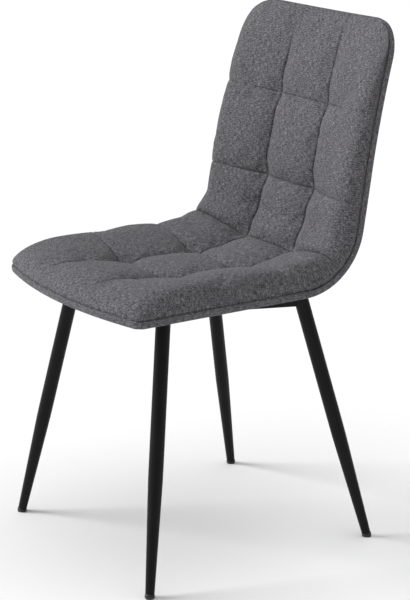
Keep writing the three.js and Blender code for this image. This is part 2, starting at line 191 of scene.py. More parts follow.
def rise(distance, reach):
    """A quarter of an ellipse: 0 on an edge, 1 from `reach` inwards."""
    inward = np.clip(distance / reach, 0, 1)
    return np.sqrt(1 - (1 - inward) ** 2)


def crown(along):
    up_back = np.clip((along - BEND_END) / (SHELL_LENGTH - BEND_END), 0, 1)
    back = LOW_BACK_CROWN + (TOP_BACK_CROWN - LOW_BACK_CROWN) * up_back
    in_bend = np.clip((along - FLAT_LENGTH) / BEND_LENGTH, 0, 1)
    fullness = BEND_FULLNESS * np.sin(np.pi * in_bend) ** 2
    return SEAT_CROWN + (back - SEAT_CROWN) * past_bend(along) + fullness


# ---- Meshes ---------------------------------------------------------------------------------


def spread(start, end, step):
    """Even stops from start up to, but not including, end."""
    count = max(1, math.ceil((end - start) / step - 1e-6))
    return np.linspace(start, end, count, endpoint=False)


def rounded_stops(reach, count):
    """Stops that follow the rounding of a rim at an even pace, from the rim inwards."""
    return reach * (1 - np.cos(np.linspace(0, math.pi / 2, count, endpoint=False)))


def add_piece(name, vertices, faces, material, cloth=None, smooth=True):
    """A mesh object on the chair's one body. `cloth` holds each vertex's place on the fabric."""
    mesh = bpy.data.meshes.new(name)
    mesh.from_pydata([tuple(v) for v in vertices], [], faces)
    mesh.validate()
    mesh.polygons.foreach_set("use_smooth", [smooth] * len(mesh.polygons))
    if cloth is not None:
        attribute = mesh.attributes.new("cloth", "FLOAT_VECTOR", "POINT")
        attribute.data.foreach_set("vector", np.asarray(cloth, np.float32).ravel())
    mesh.materials.append(material)
    mesh.update()
    obj = bpy.data.objects.new(name, mesh)
    bpy.context.scene.collection.objects.link(obj)
    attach(obj, "root")
    return obj


def grid_faces(rows, columns, closed=False):
    """Quads over a grid of vertices numbered row by row; closed joins the last row to the first."""
    last = rows if closed else rows - 1
    faces = []
    for row in range(last):
        here, there = row * columns, (row + 1) % rows * columns
        for i in range(columns - 1):
            faces.append((here + i, here + i + 1, there + i + 1, there + i))
    return faces


def ring_faces(count, segments, closed):
    """Quads between rings of vertices; closed joins the last ring to the first."""
    faces = []
    for k in range(count if closed else count - 1):
        here, there = k * segments, (k + 1) % count * segments
        for i in range(segments):
            j = (i + 1) % segments
            faces.append((here + i, here + j, there + j, there + i))
    return faces


def rim_indices(rows, columns):
    """Indices of a grid's outermost vertices, in order round it, seen from the upper side."""
    bottom = [(0, i) for i in range(columns)]
    right = [(j, columns - 1) for j in range(1, rows)]
    top = [(rows - 1, i) for i in range(columns - 2, -1, -1)]
    left = [(j, 0) for j in range(rows - 2, 0, -1)]
    return bottom + right + top + left


def closed_sheet(upper, lower, every):
    """Vertices and faces of a body with a fine upper grid and a lower one that keeps every few
    rows and columns, joined round the rim. Also gives each vertex's (row, column)."""
    rows, columns = upper.shape[:2]
    rim = rim_indices(rows, columns)
    keep_rows = sorted({*range(0, rows, every), rows - 1})
    keep_columns = sorted({*range(0, columns, every), columns - 1})
    inner = [(j, i) for j in keep_rows[1:-1] for i in keep_columns[1:-1]]
    places = [(j, i) for j in range(rows) for i in range(columns)] + rim + inner
    below = {place: rows * columns + k for k, place in enumerate(rim + inner)}
    vertices = np.concatenate([upper.reshape(-1, 3), [lower[place] for place in rim + inner]])
    faces = grid_faces(rows, columns)
    for here, there in zip(rim, rim[1:] + rim[:1]):
        above = (here[0] * columns + here[1], there[0] * columns + there[1])
        faces.append((above[1], above[0], below[here], below[there]))
    for low_j, high_j in zip(keep_rows, keep_rows[1:]):
        for low_i, high_i in zip(keep_columns, keep_columns[1:]):
            outline = [(low_j, i) for i in range(low_i, high_i)]
            outline += [(j, high_i) for j in range(low_j, high_j)]
            outline += [(high_j, i) for i in range(high_i, low_i, -1)]
            outline += [(j, low_i) for j in range(high_j, low_j, -1)]
            known = [below[place] for place in outline if place in below]
            faces.append(tuple(reversed(known)))
    return vertices, faces, places


def round_corners(across, along, half, start, end, front_radius, top_radius):
    """Moves the corners of a rectangular plan onto round ones."""
    at_front = along < (start + end) / 2
    radius = np.where(at_front, front_radius, top_radius)
    from_end = np.where(at_front, along - start, end - along)
    sideways = np.maximum(0, np.abs(across) - (half - radius)) / radius
    lengthways = np.maximum(0, radius - from_end) / radius
    moved_across = radius * (sideways * np.sqrt(1 - lengthways**2 / 2) - sideways)
    moved_along = radius * (lengthways * np.sqrt(1 - sideways**2 / 2) - lengthways)
    away = np.where(at_front, -1, 1)
    return across + np.sign(across) * moved_across, along + away * moved_along


def wander(seed, *coordinates, terms=7):
    """A smooth, repeatable unevenness between about -1 and 1 over coordinates in radians."""
    random = np.random.default_rng(seed)
    total = 0
    for _ in range(terms):
        phase = random.uniform(0, 2 * math.pi)
        swing = sum(c * random.normal() for c in coordinates)
        total = total + np.sin(swing + phase)
    return total / math.sqrt(terms)


# ---- Materials ------------------------------------------------------------------------------


class Shader:
    """A material's node tree, with short calls for the nodes used here."""

    def __init__(self, name):
        self.material = bpy.data.materials.new(name)
        self.material.use_nodes = True
        self.tree = self.material.node_tree
        self.surface = self.tree.nodes["Principled BSDF"]

    def node(self, kind, settings=None, **inputs):
        made = self.tree.nodes.new(kind)
        for name, value in (settings or {}).items():
            setattr(made, name, value)
        for name, value in inputs.items():
            self.connect(value, made.inputs[name.replace("_", " ")])
        return made

    def connect(self, value, socket):
        if isinstance(value, bpy.types.NodeSocket):
            self.tree.links.new(value, socket)
        else:
            socket.default_value = value

    def math(self, operation, *values):
        made = self.tree.nodes.new("ShaderNodeMath")
        made.operation = operation
        for value, socket in zip(values, made.inputs):
            self.connect(value, socket)
        return made.outputs[0]

    def noise(self, vector, scale, detail=2.0, roughness=0.5):
        made = self.node(
            "ShaderNodeTexNoise", None, Vector=vector, Scale=scale, Detail=detail, Roughness=roughness
        )
        return made.outputs["Fac"]

    def scaled(self, vector, x, y, z):
        made = self.node("ShaderNodeVectorMath", {"operation": "MULTIPLY"})
        self.connect(vector, made.inputs[0])
        made.inputs[1].default_value = (x, y, z)
        return made.outputs[0]

    def ramp(self, factor, *stops):
        made = self.node("ShaderNodeValToRGB", None, Fac=factor)
        elements = made.color_ramp.elements
        while len(elements) < len(stops):
            elements.new(0.5)
        for element, (place, colour) in zip(elements, stops):
            element.position = place
            element.color = (*colour, 1)
        return made.outputs["Color"]

    def mix(self, factor, first, second, blend="MIX"):
        made = self.node("ShaderNodeMix", {"data_type": "RGBA", "blend_type": blend})
        self.connect(factor, made.inputs[0])
        for value, socket in ((first, made.inputs[6]), (second, made.inputs[7])):
            self.connect((*value, 1) if isinstance(value, tuple) else value, socket)
        return made.outputs[2]

    def bump(self, height, distance, strength=1.0, normal=None):
        made = self.node("ShaderNodeBump", None, Height=height, Distance=distance, Strength=strength)
        if normal:
            self.connect(normal, made.inputs["Normal"])
        return made.outputs["Normal"]

    def finish(self, **sockets):
        for name, value in sockets.items():
            self.connect(value, self.surface.inputs[name.replace("_", " ")])
        return self.material


def grey(level, tint=1.0):
    """A grey colour; a tint over 1 makes it bluer."""
    return (level, level * (2 - tint) ** 0.5, level * tint)


def fabric_place(shader):
    """Each vertex's place on the fabric, in metres, as add_piece stored it."""
    return shader.node("ShaderNodeAttribute", {"attribute_name": "cloth"}).outputs["Vector"]


def woven_fabric(name, lightness):
    """A heathered plain weave: light and dark fibres run through threads one pitch apart."""
    pitch = 0.0007
    shader = Shader(name)

    def rounded(counted):
        """Height over a thread's width: 0 between two threads, 1 on top of one."""
        return shader.math("ABSOLUTE", shader.math("SINE", shader.math("MULTIPLY", counted, math.pi)))

    cloth = fabric_place(shader)
    drift = shader.node("ShaderNodeTexNoise", None, Vector=cloth, Scale=60.0, Detail=1.0)
    shift = shader.scaled(drift.outputs["Color"], 0.0008, 0.0008, 0)
    threads = shader.node("ShaderNodeVectorMath", {"operation": "ADD"})
    shader.connect(cloth, threads.inputs[0])
    shader.connect(shift, threads.inputs[1])
    counted = shader.scaled(threads.outputs[0], 1 / pitch, 1 / pitch, 0)
    split = shader.node("ShaderNodeSeparateXYZ", None, Vector=counted)
    warp, weft = split.outputs["X"], split.outputs["Y"]

    # Which thread lies on top alternates from one crossing to the next.
    half_turn = shader.math("MULTIPLY", shader.math("FLOOR", warp), math.pi)
    wave = shader.math("MULTIPLY_ADD", weft, math.pi, half_turn)
    over = shader.math("MULTIPLY_ADD", shader.math("COSINE", wave), 0.5, 0.5)
    under = shader.math("SUBTRACT", 1.0, over)
    warp_height = shader.math("MULTIPLY", rounded(warp), over)
    weft_height = shader.math("MULTIPLY", rounded(weft), under)
    height = shader.math("MAXIMUM", warp_height, weft_height)
    is_warp = shader.math("GREATER_THAN", warp_height, weft_height)

    # Fibres are streaks along their own thread.
    warp_fibre = shader.noise(shader.scaled(cloth, 820, 105, 0), 1.0, 1.5, 0.6)
    weft_fibre = shader.noise(shader.scaled(cloth, 130, 760, 0), 1.0, 1.5, 0.6)
    picked = shader.node("ShaderNodeMix")
    shader.connect(is_warp, picked.inputs[0])
    shader.connect(weft_fibre, picked.inputs[2])
    shader.connect(warp_fibre, picked.inputs[3])
    fibre = picked.outputs[0]
    dark = grey(lightness * 0.30, 1.05)
    middle = grey(lightness, 1.05)
    light = grey(lightness * 2.7, 1.04)
    colour = shader.ramp(fibre, (0.37, dark), (0.51, middle), (0.66, light))

    # The dye and the nap vary slowly over the cloth, and painted shade darkens the gaps between
    # threads, with the tops of the threads a little lighter.
    cloudy = shader.noise(shader.scaled(cloth, 1, 0.6, 1), 24.0, 1.0)
    tone = shader.ramp(cloudy, (0.3, (0.94, 0.94, 0.95)), (0.7, (1.04, 1.04, 1.04)))
    colour = shader.mix(1.0, colour, tone, "MULTIPLY")
    # painted shade: colour darkened where the weave is low, between the threads
    painted_gap_shade = shader.ramp(height, (0.05, (0.62, 0.62, 0.62)), (0.6, (1.06, 1.06, 1.06)))
    colour = shader.mix(0.8, colour, painted_gap_shade, "MULTIPLY")
    fuzz = shader.noise(cloth, 2600.0, 2.0)
    relief = shader.bump(fuzz, 0.00012, 0.5)
    relief = shader.bump(height, 0.00026, 0.8, relief)
    rough = shader.math("MULTIPLY_ADD", fibre, 0.14, 0.84)
    return shader.finish(
        Base_Color=colour,
        Roughness=rough,
        Normal=relief,
        Specular_IOR_Level=0.22,
        Sheen_Weight=0.15,
        Sheen_Roughness=0.45,
        Sheen_Tint=(0.75, 0.75, 0.78, 1),
    )


def spun_cloth():
    """Thin black spun-bonded cloth, pressed with a pattern of small dots."""
    shader = Shader("spun_black_cloth")
    cloth = fabric_place(shader)
    dots = shader.node("ShaderNodeTexVoronoi", None, Vector=cloth, Scale=620.0, Randomness=0.15)
    fibres = shader.noise(cloth, 1500.0, 4.0, 0.7)
    pressed = shader.ramp(dots.outputs["Distance"], (0.25, (0, 0, 0)), (0.4, (1, 1, 1)))
    colour = shader.ramp(fibres, (0.3, grey(0.008)), (0.75, grey(0.03)))
    relief = shader.bump(fibres, 0.0001, 0.6)
    relief = shader.bump(pressed, 0.00015, 0.6, relief)
    rough = shader.math("MULTIPLY_ADD", fibres, 0.2, 0.75)
    return shader.finish(Base_Color=colour, Roughness=rough, Normal=relief, Specular_IOR_Level=0.3)


def object_place(shader):
    return shader.node("ShaderNodeTexCoord").outputs["Object"]


def powder_coat():
    """Matt black powder coating: fine orange peel, with a little dust and rubbing."""
    shader = Shader("matt_black_powder_coat")
    place = object_place(shader)
    peel = shader.noise(place, 1400.0, 2.0)
    waves = shader.noise(place, 260.0, 2.0)
    wear = shader.noise(place, 18.0, 5.0, 0.65)
    colour = shader.ramp(wear, (0.35, grey(0.004)), (0.75, grey(0.008)))
    rough = shader.math("MULTIPLY_ADD", wear, 0.16, 0.36)
    relief = shader.bump(waves, 0.0001, 0.25)
    relief = shader.bump(peel, 0.00005, 0.5, relief)
    return shader.finish(Base_Color=colour, Roughness=rough, Normal=relief, Specular_IOR_Level=0.16)


def moulded_plastic():
    """Black plastic with a fine grain and a few scuffs."""
    shader = Shader("black_moulded_plastic")
    place = object_place(shader)
    grain = shader.noise(place, 2200.0, 3.0)
    scuffs = shader.noise(shader.scaled(place, 1, 1, 4), 90.0, 4.0, 0.7)
    colour = shader.ramp(scuffs, (0.4, grey(0.008)), (0.8, grey(0.022)))
    rough = shader.math("MULTIPLY_ADD", scuffs, 0.25, 0.32)
    relief = shader.bump(grain, 0.00004, 0.5)
    return shader.finish(Base_Color=colour, Roughness=rough, Normal=relief)


def zinc_plate():
    """Zinc-plated steel, a little stained."""
    shader = Shader("zinc_plated_steel")
    place = object_place(shader)
    spangle = shader.noise(place, 700.0, 3.0)
    stains = shader.noise(place, 120.0, 3.0)
    colour = shader.ramp(stains, (0.3, (0.42, 0.43, 0.45)), (0.7, (0.66, 0.67, 0.68)))
    rough = shader.math("MULTIPLY_ADD", spangle, 0.25, 0.22)
    relief = shader.bump(spangle, 0.00003, 0.5)
    return shader.finish(Base_Color=colour, Roughness=rough, Normal=relief, Metallic=1.0)


def birch_plywood():
    """Birch veneer, with its figure and pores along Y."""
    shader = Shader("birch_plywood")
    place = object_place(shader)
    figure = shader.noise(shader.scaled(place, 60, 4, 4), 4.0, 5.0, 0.6)
    pores = shader.noise(shader.scaled(place, 900, 60, 60), 1.0, 3.0)
    colour = shader.ramp(figure, (0.3, (0.38, 0.25, 0.13)), (0.7, (0.62, 0.45, 0.27)))
    rough = shader.math("MULTIPLY_ADD", pores, 0.2, 0.6)
    relief = shader.bump(pores, 0.0001, 0.5)
    return shader.finish(Base_Color=colour, Roughness=rough, Normal=relief)


def sewing_thread():
    """Dark grey twisted thread."""
    shader = Shader("grey_sewing_thread")
    place = object_place(shader)
    twist = shader.noise(place, 3000.0, 2.0)
    colour = shader.ramp(twist, (0.3, grey(0.02, 1.05)), (0.7, grey(0.05, 1.05)))
    return shader.finish(Base_Color=colour, Roughness=0.8, Normal=shader.bump(twist, 0.0001, 0.6))


FABRIC = woven_fabric("heathered_grey_fabric", 0.112)
THREAD = sewing_thread()
BLACK_CLOTH = spun_cloth()
POWDER_COAT = powder_coat()
PLASTIC = moulded_plastic()
ZINC = zinc_plate()
BIRCH = birch_plywood()

# ---- The quilted pad ------------------------------------------------------------------------


def seam_distance(place, seams):
    return np.min([np.abs(place - seam) for seam in seams], axis=0)


def nearest_cross_seam(across, along):
    """Depth of the nearest cross seam, and how much of it is kept: all in the middle column."""
    seams = np.array(list(CROSS_SEAMS))
    nearest = np.argmin(np.abs(along[..., None] - seams), axis=-1)
    depth, kept = np.moveaxis(np.array(list(CROSS_SEAMS.values()))[nearest], -1, 0)
    fading = smoothstep(np.abs(across), LENGTHWISE_SEAM, LENGTHWISE_SEAM + CROSS_SEAM_FADE)
    return depth, 1 - (1 - kept) * fading


def quilting(across, along):
    """How deep the quilting draws the pad in: 0 on top of a pillow, 1 down at the valley floor."""
    from_length = seam_distance(across, (-LENGTHWISE_SEAM, LENGTHWISE_SEAM))
    from_cross = seam_distance(along, CROSS_SEAMS)
    ends = smoothstep(along, 0, 0.13) * smoothstep(SHELL_LENGTH - along, -0.02, 0.12)
    lengthwise = LENGTHWISE_DEPTH * ends * (1 - rise(from_length, SEAM_REACH))
    depth, share = nearest_cross_seam(across, along)
    crosswise = depth * share * (1 - rise(from_cross, SEAM_REACH))
    tuft = TUFT_DEPTH * np.exp(-(from_length**2 + from_cross**2) / TUFT_REACH**2)
    return 1 - (1 - lengthwise) * (1 - crosswise) * (1 - tuft)


def dish(across, along):
    """How much lower the padding is in the middle than at the sides."""
    middle = 1 - smoothstep(np.abs(across), DISH_FLOOR, DISH_EDGE)
    share = SEAT_DISH + (BACK_DISH - SEAT_DISH) * past_bend(along)
    return share * (crown(along) - VALLEY_FLOOR) * middle * smoothstep(along, -0.02, 0.22)


def crease(across, along):
    """The narrow fold in the fabric along each seam, with small puckers beside it."""
    from_length = seam_distance(across, (-LENGTHWISE_SEAM, LENGTHWISE_SEAM))
    from_cross = seam_distance(along, CROSS_SEAMS)
    ends = smoothstep(along, 0.01, 0.10) * smoothstep(SHELL_LENGTH - along, 0.01, 0.10)
    sides = LEAST_CREASE + (1 - LEAST_CREASE) * nearest_cross_seam(across, along)[1]
    fold_length = ends * np.exp(-((from_length / CREASE_WIDTH) ** 2))
    fold_cross = sides * np.exp(-((from_cross / CREASE_WIDTH) ** 2))
    near_length = ends * np.exp(-from_length / PUCKER_REACH)
    near_cross = sides * np.exp(-from_cross / PUCKER_REACH)
    puckers = near_length * wander(5, along * 620, across * 60)
    puckers = puckers + near_cross * wander(6, across * 620, along * 60)
    return PUCKER_DEPTH * puckers - CREASE_DEPTH * np.maximum(fold_length, fold_cross)


def pad_places(step, near_seam):
    """Column and row stops of the pad's grid. `near_seam` adds stops beside every seam."""
    side = rounded_stops(SIDE_ROUNDING, 12)
    inner = HALF_WIDTH - SIDE_ROUNDING
    half = [spread(0, LENGTHWISE_SEAM, step), spread(LENGTHWISE_SEAM, inner, step)]
    half += [HALF_WIDTH - side[::-1]]
    right = np.concatenate(half)
    beside = [LENGTHWISE_SEAM + side * d for d in near_seam for side in (-1, 1)]
    right = np.unique(np.concatenate([right, beside]).round(6))
    columns = np.concatenate([-right[:0:-1], right])
    front = rounded_stops(FRONT_ROUNDING, 22)
    top = SHELL_LENGTH - rounded_stops(TOP_ROUNDING, 16)[::-1]
    knots = (FRONT_ROUNDING, *CROSS_SEAMS, SHELL_LENGTH - TOP_ROUNDING)
    rows = [front, *(spread(a, b, step) for a, b in zip(knots, knots[1:])), top]
    rows += [[seam + side * d for d in near_seam for side in (-1, 1)] for seam in CROSS_SEAMS]
    return columns, np.unique(np.concatenate(rows).round(6))


def pad_surface(columns, rows, finely):
    """The pad's upper face as a grid of points."""
    across, along = np.meshgrid(columns, rows)
    from_side = HALF_WIDTH - np.abs(across)
    side_rise = rise(from_side, SIDE_ROUNDING)
    end_rise = rise(along, FRONT_ROUNDING) * rise(SHELL_LENGTH - along, TOP_ROUNDING)
    rim = BAND_HEIGHT + 2 * GAP
    full = rim + (crown(along) - dish(across, along) - rim) * side_rise * end_rise
    up = full - quilting(across, along) * np.maximum(full - VALLEY_FLOOR, 0)
    if finely:
        up = up + crease(across, along) * smoothstep(side_rise * end_rise, 0.1, 0.6)
        up = up + PAD_UNEVENNESS * wander(11, across * 45, along * 45) * side_rise * end_rise

    # The seam with the band draws the rim in, and the padding swells out just above it.
    swollen = RIM_DRAW * np.sin(np.pi * side_rise) * (1 - side_rise)
    drawn_side = -RIM_DRAW * (1 - side_rise) ** 5 + swollen
    drawn_front = -RIM_DRAW * (1 - rise(along, FRONT_ROUNDING)) ** 5
    drawn_top = RIM_DRAW * (1 - rise(SHELL_LENGTH - along, TOP_ROUNDING)) ** 5
    plan_across, plan_along = round_corners(
        across, along, HALF_WIDTH, 0, SHELL_LENGTH, FRONT_CORNER, TOP_CORNER
    )
    plan_across = plan_across + np.sign(across) * drawn_side
    plan_along = plan_along - drawn_front - drawn_top
    return shell_point(plan_across, plan_along, up)


def fill_with_air(points, pinned):
    """Cloth simulation: pressure fills the sheet of points between its pinned ones, with a
    little slack in the cloth. Gives each point's movement, none of them over AIR_REACH."""
    rows, columns = points.shape[:2]
    mesh = bpy.data.meshes.new("sheet")
    mesh.from_pydata([tuple(p) for p in points.reshape(-1, 3)], [], grid_faces(rows, columns))
    sheet = bpy.data.objects.new("sheet", mesh)
    scene = bpy.context.scene
    scene.collection.objects.link(sheet)
    held = sheet.vertex_groups.new(name="held")
    held.add([int(i) for i in np.flatnonzero(pinned)], 1.0, "REPLACE")
    cloth = sheet.modifiers.new("cloth", "CLOTH")
    cloth.settings.vertex_group_mass = "held"
    cloth.settings.quality = 6
    cloth.settings.mass = 0.4
    cloth.settings.tension_stiffness = 40
    cloth.settings.compression_stiffness = 40
    cloth.settings.shear_stiffness = 12
    cloth.settings.bending_stiffness = 2.0
    cloth.settings.shrink_min = -SLACK
    cloth.settings.use_pressure = True
    cloth.settings.uniform_pressure_force = AIR_PRESSURE
    cloth.settings.effector_weights.gravity = 0
    cloth.point_cache.frame_start = 1
    cloth.point_cache.frame_end = SIMULATED_FRAMES
    for step in range(1, SIMULATED_FRAMES + 1):
        scene.frame_set(step)
    settled = sheet.evaluated_get(bpy.context.evaluated_depsgraph_get()).data
    after = np.zeros(len(settled.vertices) * 3, np.float32)
    settled.vertices.foreach_get("co", after)
    bpy.data.objects.remove(sheet)
    scene.frame_set(1)
    moved = after.reshape(points.shape) - points
    far = np.linalg.norm(moved, axis=-1, keepdims=True)
    return moved * np.minimum(1, AIR_REACH / np.maximum(far, 1e-9))


def resampled(values, stops, wanted, axis):
    """Values on a grid's stops along one axis, at other stops, on a smooth cubic curve."""
    values = np.moveaxis(values, axis, 0)
    place = np.interp(wanted, stops, np.arange(len(stops)))
    low = np.clip(np.floor(place).astype(int), 0, len(stops) - 2)
    part = (place - low).reshape(-1, *[1] * (values.ndim - 1))
    before, after = np.maximum(low - 1, 0), np.minimum(low + 2, len(stops) - 1)
    a, b, c, d = values[before], values[low], values[low + 1], values[after]
    curve = b + 0.5 * part * (c - a + part * (2 * a - 5 * b + 4 * c - d + part * (3 * (b - c) + d - a)))
    return np.moveaxis(curve, 0, axis)


def cloth_places(points):
    """Each point's place on the fabric: mean lengths over the surface from its first corner."""
    sideways = np.linalg.norm(np.diff(points, axis=1), axis=-1).mean(axis=0)
    lengthways = np.linalg.norm(np.diff(points, axis=0), axis=-1).mean(axis=1)
    across, along = np.meshgrid(
        np.concatenate([[0], np.cumsum(sideways)]), np.concatenate([[0], np.cumsum(lengthways)])
    )
    return np.stack([across, along, np.zeros(across.shape)], axis=-1)


def filled_out(columns, rows):
    """How far the simulated filling moves each point of the pad's upper face."""
    coarse_columns, coarse_rows = pad_places(SIMULATED_STEP, ())
    sheet = pad_surface(coarse_columns, coarse_rows, finely=False)
    across, along = np.meshgrid(coarse_columns, coarse_rows)
    on_cross_seam = seam_distance(along, CROSS_SEAMS) < 1e-5
    pinned = seam_distance(across, (-LENGTHWISE_SEAM, LENGTHWISE_SEAM)) < 1e-5
    pinned |= on_cross_seam & (nearest_cross_seam(across, along)[1] > HELD_SEAM)
    pinned[[0, -1], :] = True
    pinned[:, [0, -1]] = True
    moved = resampled(fill_with_air(sheet, pinned), coarse_rows, rows, axis=0)
    return resampled(moved, coarse_columns, columns, axis=1)


def quilted_pad():
    """The front cover with its foam, as one closed body: sewn, tufted and filled out."""
    columns, rows = pad_places(PAD_STEP, BESIDE_SEAM)
    upper = pad_surface(columns, rows, finely=True)
    upper = upper + filled_out(columns, rows)
    across, along = np.meshgrid(columns, rows)
    plan = round_corners(across, along, HALF_WIDTH, 0, SHELL_LENGTH, FRONT_CORNER, TOP_CORNER)
    shrink = 1 - PAD_UNDER_INSET / HALF_WIDTH
    middle = SHELL_LENGTH / 2
    under_along = middle + (plan[1] - middle) * (1 - PAD_UNDER_INSET / middle)
    lower = shell_point(plan[0] * shrink, under_along, plywood_top(along) + GAP)
    vertices, faces, places = closed_sheet(upper, lower, PAD_EVERY)
    threads = cloth_places(pad_surface(columns, rows, finely=False))
    cloth = [threads[place] for place in places]
    pad = add_piece("quilted_pad", vertices, faces, FABRIC, cloth)
    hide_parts("quilted_cover", "seat_foam", "back_foam")


quilted_pad()

# ---- Band round the shell's edge ------------------------------------------------------------


def outline(step):
    """Points round the shell's outline as (across, along), with their outward directions."""
    corners = (
        (HALF_WIDTH - FRONT_CORNER, FRONT_CORNER, FRONT_CORNER, -90),
        (HALF_WIDTH - TOP_CORNER, SHELL_LENGTH - TOP_CORNER, TOP_CORNER, 0),
        (TOP_CORNER - HALF_WIDTH, SHELL_LENGTH - TOP_CORNER, TOP_CORNER, 90),
        (FRONT_CORNER - HALF_WIDTH, FRONT_CORNER, FRONT_CORNER, 180),
    )
    points, outward = [], []
    for k, (x, s, radius, start) in enumerate(corners):
        count = max(8, math.ceil(radius * math.pi / 2 / step))
        for turn in np.radians(np.linspace(start, start + 90, count + 1)):
            direction = np.array([math.cos(turn), math.sin(turn)])
            points.append(np.array([x, s]) + radius * direction)
            outward.append(direction)
        x, s, radius, _ = corners[(k + 1) % 4]
        direction = outward[-1]
        end = np.array([x, s]) + radius * direction
        side = points[-1]
        for part in spread(0, 1, step / np.linalg.norm(end - side))[1:]:
            points.append(side + (end - side) * part)
            outward.append(direction)
    return np.array(points), np.array(outward)


def swept_band(section, seams=()):
    """Points of a section of (inset, up) places carried round the outline, and the distance of
    each row of them along it. A sewn joint pinches the band at the (across, along) `seams`."""
    points, outward = outline(OUTLINE_STEP)
    lengths = np.linalg.norm(np.roll(points, -1, axis=0) - points, axis=1)
    run = np.concatenate([[0], np.cumsum(lengths)[:-1]])
    pinch = np.zeros(len(points))
    for seam in seams:
        nearest = np.argmin(np.linalg.norm(points - np.array(seam), axis=1))
        pinch = np.maximum(pinch, np.exp(-(((run - run[nearest]) / SEWN_JOINT_WIDTH) ** 2)))
    insets, ups = np.array(section).T
    depth = insets[None, :] + SEWN_JOINT_DEPTH * pinch[:, None]
    plan = points[:, None, :] - depth[..., None] * outward[:, None, :]
    return shell_point(plan[..., 0], plan[..., 1], np.broadcast_to(ups, depth.shape)), run


def side_band():
    """A strip of the cover fabric, sewn to the pad at its upper edge and turned under at the
    lower one, as far as between the plywood and the dust cover."""
    lean = BAND_LEAN / BAND_HEIGHT
    leaning = [(lean * (BAND_HEIGHT - up) - 0.0004, up) for up in (0.0090, 0.0065, 0.0042, 0.0020)]
    seam = [(0.0036, 0.0117), (0.0020, 0.0125), (0.0008, 0.0121), (0.0001, 0.0108)]
    fold = [(0.0021, 0.0007), (0.0029, -0.0001), (0.0046, -0.0003), (0.0080, 0.0001)]
    lip = [(0.0105, 0.0004), (0.0145, 0.0004), (0.0145, 0.0010), (0.0060, 0.0010)]
    inner_face = [(0.0048, 0.0012), (0.0040, 0.0022), (0.0028, 0.0080), (0.0024, 0.0112)]
    section = seam + leaning + fold + lip + inner_face
    corner = FRONT_CORNER * (1 - math.sqrt(0.5))
    seams = [(side * (HALF_WIDTH - corner), corner) for side in (-1, 1)]
    points, run = swept_band(section, seams)
    rows, columns = points.shape[:2]
    faces = [(a, d, c, b) for a, b, c, d in ring_faces(rows, columns, closed=True)]
    reach = np.concatenate([[0], np.cumsum(np.hypot(*np.diff(np.array(section), axis=0).T))])
    cloth = [(r, reach[i] + 0.5, 0) for r in run for i in range(columns)]
    band = add_piece("edge_band", points.reshape(-1, 3), faces, FABRIC, cloth)
    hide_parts("side_band")


side_band()

# ---- Rear cover and dust cover --------------------------------------------------------------


def flat_layer(start, end, inset, step, lower, upper, square_start):
    """A sheet over part of the shell's rear or underside: its column and row stops, and its two
    faces as grids of points. The function `lower` gives the outer face's distance off the
    profile, and `upper` is the inner one's."""
    half = HALF_WIDTH - inset
    edge = rounded_stops(LAYER_EDGE, 6)
    side = np.concatenate([edge, spread(LAYER_EDGE, half, step)])
    columns = np.concatenate([side - half, [0], (half - side)[::-1]])
    middle = spread(start + LAYER_EDGE, end - LAYER_EDGE, step)
    rows = np.concatenate([start + edge, middle, end - edge[::-1]])
    across, along = np.meshgrid(columns, rows)
    from_edge = np.minimum(half - np.abs(across), np.minimum(along - start, end - along))
    if square_start:
        from_edge = np.minimum(half - np.abs(across), end - along)
    plan = round_corners(across, along, half, start, end, FRONT_CORNER - inset, TOP_CORNER - inset)
    low = shell_point(*plan, lower(across, along, from_edge))
    high = shell_point(*plan, np.full(across.shape, upper))
    return columns, rows, low, high


def rear_cover():
    """The plain rear panel, softly padded, tucked under the band."""

    def outside(across, along, from_edge):
        swell = rise(from_edge, 0.03) * smoothstep(along, DUST_COVER_LENGTH, FLAT_LENGTH + 0.08)
        ripple = 0.0003 * wander(21, across * 40, along * 30)
        return 0.0006 - 0.0012 * rise(from_edge, 0.006) - 0.0026 * swell + ripple * swell

    start, end = DUST_COVER_LENGTH - REAR_COVER_TUCK, SHELL_LENGTH - REAR_COVER_INSET
    columns, rows, low, high = flat_layer(
        start, end, REAR_COVER_INSET, step=0.006, lower=outside, upper=0.0012, square_start=True
    )
    vertices, faces, places = closed_sheet(low[:, ::-1], high[:, ::-1], LAYER_EVERY)
    cloth = [(columns[::-1][i], rows[j], 0) for j, i in places]
    cover = add_piece("rear_panel", vertices, faces, FABRIC, cloth)
    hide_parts("rear_cover", "rear_padding")


def under_plates(across, along):
    """1 where a corner plate presses on the seat's underside, falling to 0 round it."""
    pressed = 0
    for corner in LEGS:
        low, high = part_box("corner_plate_" + corner)
        x, y = across, along + FRONT_EDGE_Y
        past_x = np.maximum(low.x - x, x - high.x)
        past_y = np.maximum(low.y - y, y - high.y)
        past = np.maximum(past_x, past_y)
        pressed = np.maximum(pressed, 1 - smoothstep(past, 0.003, 0.012))
    return pressed


def dust_cover():
    """Black cloth stapled under the seat, its edges folded in."""
    inset = DUST_COVER_INSET

    def outside(across, along, from_edge):
        hem = 0.0004 * (1 - smoothstep(from_edge, 0.009, 0.0115))
        unevenness = 1 + 0.4 * wander(31, across * 30, along * 30)
        sag = 0.0012 * smoothstep(from_edge, 0.012, 0.07) * unevenness
        return -0.0002 - (0.0002 + hem + sag) * (1 - under_plates(across, along))

    columns, rows, low, high = flat_layer(
        inset, DUST_COVER_LENGTH, inset, step=0.004, lower=outside, upper=0.0002, square_start=False
    )
    vertices, faces, places = closed_sheet(low[:, ::-1], high[:, ::-1], LAYER_EVERY)
    cloth = [(columns[::-1][i], rows[j], 0) for j, i in places]
    cover = add_piece("black_dust_cover", vertices, faces, BLACK_CLOTH, cloth)
    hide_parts("dust_cover")


rear_cover()
dust_cover()

# ---- Stitches and staples -------------------------------------------------------------------


